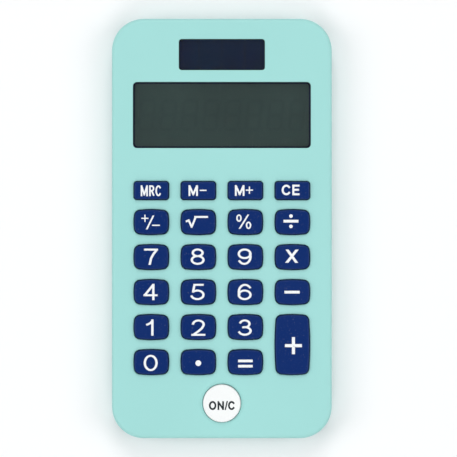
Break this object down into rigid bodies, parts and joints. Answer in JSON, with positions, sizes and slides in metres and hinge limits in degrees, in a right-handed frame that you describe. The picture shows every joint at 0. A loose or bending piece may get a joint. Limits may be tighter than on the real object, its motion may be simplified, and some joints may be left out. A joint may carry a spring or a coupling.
{
  "type": "pocket calculator",
  "caption": "Slim handheld solar calculator with rounded corners, a dark display, bowed rectangular keys, a tall plus key and a round on/clear key.",
  "frame": {"origin": "on the surface that the feet stand on, under the middle of the case", "axes": "+Z out of the key side, +Y towards the display end, +X to the reader's right"},
  "size_m": [0.06, 0.1146, 0.0099],
  "materials": {
    "case_plastic": "fine matt moulded ABS, mint",
    "key_plastic": "satin moulded ABS, navy, printed legend",
    "clear_key_plastic": "satin moulded ABS, white, printed legend",
    "screw_steel": "nickel plated",
    "foot_rubber": "matt",
    "clear_window": "clear moulded acrylic",
    "polariser": "grey film",
    "lcd_glass": "clear glass",
    "reflector": "matt grey film",
    "zebra_rubber": "striped elastomer",
    "solar_cell": "amorphous silicon on glass",
    "foam": "closed cell foam",
    "dome_silicone": "translucent silicone",
    "carbon": "conductive carbon",
    "board_laminate": "paper laminate",
    "chip_epoxy": "black potting epoxy",
    "ceramic": "ceramic chip",
    "led_resin": "clear resin",
    "cell_steel": "nickel plated can",
    "contact_metal": "spring strip",
    "wire_red": "insulated wire",
    "wire_black": "insulated wire",
    "solder": "tin solder"
  },
  "bodies": {
    "calculator_case": {"front_case": "case_plastic", "rear_case": "case_plastic", "case_screws": "screw_steel", "board_screws": "screw_steel", "rubber_feet": "foot_rubber", "display_window": "clear_window", "solar_window": "clear_window", "lcd_front_polariser": "polariser", "lcd_front_glass": "lcd_glass", "lcd_rear_glass": "lcd_glass", "lcd_reflector": "reflector", "zebra_strip": "zebra_rubber", "solar_cell": "solar_cell", "solar_cell_pad": "foam", "rubber_dome_sheet": "dome_silicone", "carbon_pills": "carbon", "carbon_contacts": "carbon", "circuit_board": "board_laminate", "chip_coating": "chip_epoxy", "ceramic_capacitors": "ceramic", "clamp_led": "led_resin", "button_cell": "cell_steel", "battery_contact_positive": "contact_metal", "battery_contact_negative": "contact_metal", "solar_wire_positive": "wire_red", "solar_wire_negative": "wire_black", "battery_wire_positive": "wire_red", "battery_wire_negative": "wire_black", "solder_joints": "solder"},
    "battery_door": {"battery_door": "case_plastic", "battery_door_screw": "screw_steel"},
    "key_memory_recall": {"key_memory_recall": "key_plastic"},
    "key_memory_minus": {"key_memory_minus": "key_plastic"},
    "key_memory_plus": {"key_memory_plus": "key_plastic"},
    "key_clear_entry": {"key_clear_entry": "key_plastic"},
    "key_sign": {"key_sign": "key_plastic"},
    "key_root": {"key_root": "key_plastic"},
    "key_percent": {"key_percent": "key_plastic"},
    "key_divide": {"key_divide": "key_plastic"},
    "key_7": {"key_7": "key_plastic"},
    "key_8": {"key_8": "key_plastic"},
    "key_9": {"key_9": "key_plastic"},
    "key_multiply": {"key_multiply": "key_plastic"},
    "key_4": {"key_4": "key_plastic"},
    "key_5": {"key_5": "key_plastic"},
    "key_6": {"key_6": "key_plastic"},
    "key_minus": {"key_minus": "key_plastic"},
    "key_1": {"key_1": "key_plastic"},
    "key_2": {"key_2": "key_plastic"},
    "key_3": {"key_3": "key_plastic"},
    "key_0": {"key_0": "key_plastic"},
    "key_point": {"key_point": "key_plastic"},
    "key_equals": {"key_equals": "key_plastic"},
    "key_plus": {"key_plus": "key_plastic"},
    "key_on_clear": {"key_on_clear": "clear_key_plastic"}
  },
  "joints": [
    {"name": "key_memory_recall_press", "type": "slide", "parent": "calculator_case", "child": "key_memory_recall", "axis": [0, 0, -1], "range_m": [0, 0.00095], "stiffness_N_per_m": 550, "deforming": ["rubber_dome_sheet", "carbon_pills"]},
    {"name": "key_memory_minus_press", "type": "slide", "parent": "calculator_case", "child": "key_memory_minus", "axis": [0, 0, -1], "range_m": [0, 0.00095], "stiffness_N_per_m": 550},
    {"name": "key_memory_plus_press", "type": "slide", "parent": "calculator_case", "child": "key_memory_plus", "axis": [0, 0, -1], "range_m": [0, 0.00095], "stiffness_N_per_m": 550},
    {"name": "key_clear_entry_press", "type": "slide", "parent": "calculator_case", "child": "key_clear_entry", "axis": [0, 0, -1], "range_m": [0, 0.00095], "stiffness_N_per_m": 550},
    {"name": "key_sign_press", "type": "slide", "parent": "calculator_case", "child": "key_sign", "axis": [0, 0, -1], "range_m": [0, 0.00095], "stiffness_N_per_m": 550},
    {"name": "key_root_press", "type": "slide", "parent": "calculator_case", "child": "key_root", "axis": [0, 0, -1], "range_m": [0, 0.00095], "stiffness_N_per_m": 550},
    {"name": "key_percent_press", "type": "slide", "parent": "calculator_case", "child": "key_percent", "axis": [0, 0, -1], "range_m": [0, 0.00095], "stiffness_N_per_m": 550},
    {"name": "key_divide_press", "type": "slide", "parent": "calculator_case", "child": "key_divide", "axis": [0, 0, -1], "range_m": [0, 0.00095], "stiffness_N_per_m": 550},
    {"name": "key_7_press", "type": "slide", "parent": "calculator_case", "child": "key_7", "axis": [0, 0, -1], "range_m": [0, 0.00095], "stiffness_N_per_m": 550},
    {"name": "key_8_press", "type": "slide", "parent": "calculator_case", "child": "key_8", "axis": [0, 0, -1], "range_m": [0, 0.00095], "stiffness_N_per_m": 550},
    {"name": "key_9_press", "type": "slide", "parent": "calculator_case", "child": "key_9", "axis": [0, 0, -1], "range_m": [0, 0.00095], "stiffness_N_per_m": 550},
    {"name": "key_multiply_press", "type": "slide", "parent": "calculator_case", "child": "key_multiply", "axis": [0, 0, -1], "range_m": [0, 0.00095], "stiffness_N_per_m": 550},
    {"name": "key_4_press", "type": "slide", "parent": "calculator_case", "child": "key_4", "axis": [0, 0, -1], "range_m": [0, 0.00095], "stiffness_N_per_m": 550},
    {"name": "key_5_press", "type": "slide", "parent": "calculator_case", "child": "key_5", "axis": [0, 0, -1], "range_m": [0, 0.00095], "stiffness_N_per_m": 550},
    {"name": "key_6_press", "type": "slide", "parent": "calculator_case", "child": "key_6", "axis": [0, 0, -1], "range_m": [0, 0.00095], "stiffness_N_per_m": 550},
    {"name": "key_minus_press", "type": "slide", "parent": "calculator_case", "child": "key_minus", "axis": [0, 0, -1], "range_m": [0, 0.00095], "stiffness_N_per_m": 550},
    {"name": "key_1_press", "type": "slide", "parent": "calculator_case", "child": "key_1", "axis": [0, 0, -1], "range_m": [0, 0.00095], "stiffness_N_per_m": 550},
    {"name": "key_2_press", "type": "slide", "parent": "calculator_case", "child": "key_2", "axis": [0, 0, -1], "range_m": [0, 0.00095], "stiffness_N_per_m": 550},
    {"name": "key_3_press", "type": "slide", "parent": "calculator_case", "child": "key_3", "axis": [0, 0, -1], "range_m": [0, 0.00095], "stiffness_N_per_m": 550},
    {"name": "key_0_press", "type": "slide", "parent": "calculator_case", "child": "key_0", "axis": [0, 0, -1], "range_m": [0, 0.00095], "stiffness_N_per_m": 550},
    {"name": "key_point_press", "type": "slide", "parent": "calculator_case", "child": "key_point", "axis": [0, 0, -1], "range_m": [0, 0.00095], "stiffness_N_per_m": 550},
    {"name": "key_equals_press", "type": "slide", "parent": "calculator_case", "child": "key_equals", "axis": [0, 0, -1], "range_m": [0, 0.00095], "stiffness_N_per_m": 550},
    {"name": "key_plus_press", "type": "slide", "parent": "calculator_case", "child": "key_plus", "axis": [0, 0, -1], "range_m": [0, 0.00095], "stiffness_N_per_m": 550},
    {"name": "key_on_clear_press", "type": "slide", "parent": "calculator_case", "child": "key_on_clear", "axis": [0, 0, -1], "range_m": [0, 0.00095], "stiffness_N_per_m": 550},
    {"name": "battery_door_hinge", "type": "hinge", "parent": "calculator_case", "child": "battery_door", "pos_m": [0, 0.0529, 0.0008], "axis": [1, 0, 0], "range_deg": [0, 70]}
  ]
}
